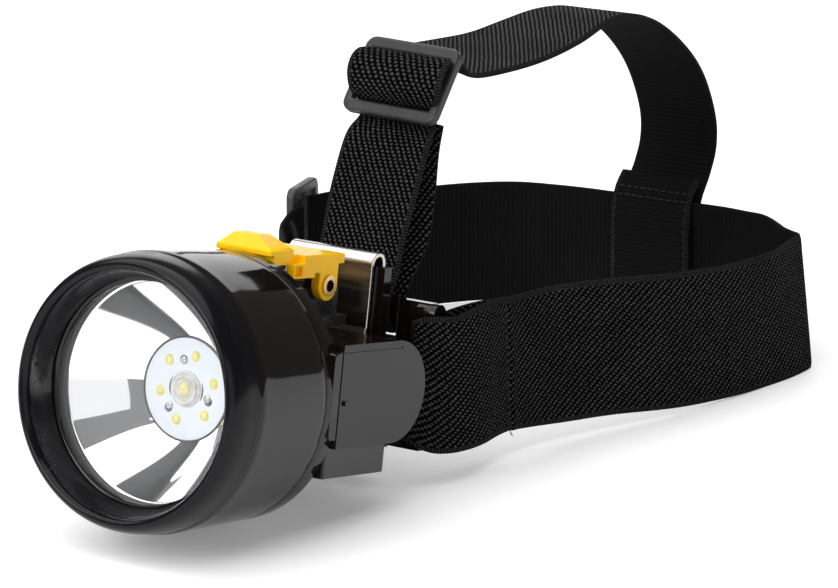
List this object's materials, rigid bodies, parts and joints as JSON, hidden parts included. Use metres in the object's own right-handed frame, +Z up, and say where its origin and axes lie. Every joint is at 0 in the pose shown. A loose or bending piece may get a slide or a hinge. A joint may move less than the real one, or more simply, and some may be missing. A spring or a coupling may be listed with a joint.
{
  "type": "miner's cap lamp",
  "caption": "Cordless miner's cap lamp with a round head, reflector and light board, yellow switch lever and helmet clip, hung on an elastic headband with slide buckles.",
  "frame": {"origin": "middle of the bounding box's underside, on the table the band stands on", "axes": "+Z up, lens faces -Y and is leaned back by the lamp's tilt, +X is the lamp's left side as worn"},
  "size_m": [0.1423, 0.2769, 0.1032],
  "materials": {
    "gloss_black": "glossy",
    "satin_black": "satin",
    "buckle_grey": "matte",
    "chrome_bowl": "mirror",
    "clear_lens": "polished",
    "rubber_seal": "matte",
    "board_white": "satin",
    "led_clear": "glossy",
    "led_yellow": "satin",
    "steel": "brushed",
    "plated_steel": "satin",
    "aluminium": "machined",
    "green_board": "satin",
    "wire_red": "satin",
    "cell_sleeve": "satin",
    "yellow_plastic": "satin",
    "brass": "polished",
    "webbing": "woven"
  },
  "bodies": {
    "headband": {"hanger_plate": "satin_black", "head_strap": "webbing", "side_buckle": "buckle_grey", "top_strap": "webbing", "top_buckle": "buckle_grey"},
    "lamp": {"front_shell": "gloss_black", "lens_retainer": "gloss_black", "lens": "clear_lens", "lens_gasket": "rubber_seal", "reflector": "chrome_bowl", "led_board": "board_white", "main_led": "led_clear", "aux_leds": "led_yellow", "board_screws": "plated_steel", "heat_sink": "aluminium", "driver_board": "green_board", "lead_wires": "wire_red", "rear_housing": "gloss_black", "battery_cell": "cell_sleeve", "contact_plates": "plated_steel", "contact_springs": "plated_steel", "end_cap_right": "gloss_black", "end_cap_left": "gloss_black", "charge_base": "satin_black", "base_screws": "plated_steel", "lever_bracket": "satin_black", "tact_switch": "satin_black", "pivot_rivet": "brass", "helmet_clip": "steel", "clip_rivets": "plated_steel"},
    "lever": {"switch_lever": "yellow_plastic"},
    "plunger": {"switch_plunger": "satin_black"}
  },
  "joints": [
    {"name": "lamp_lift", "type": "slide", "parent": "headband", "child": "lamp", "axis": [0, 0.1668, 0.986], "range_m": [0, 0.036]},
    {"name": "lever_press", "type": "hinge", "parent": "lamp", "child": "lever", "pos_m": [0.0203, -0.0651, 0.05313], "axis": [1, 0, 0], "range_deg": [0, 4], "stiffness_Nm_per_rad": 0.4, "springref_deg": -3.44},
    {"name": "plunger_press", "type": "slide", "parent": "lamp", "child": "plunger", "axis": [0, -0.1668, -0.986], "range_m": [0, 0.0016]}
  ],
  "couplings": [
    {"joint": "plunger_press", "follows": "lever_press", "m_per_rad": 0.0179}
  ]
}
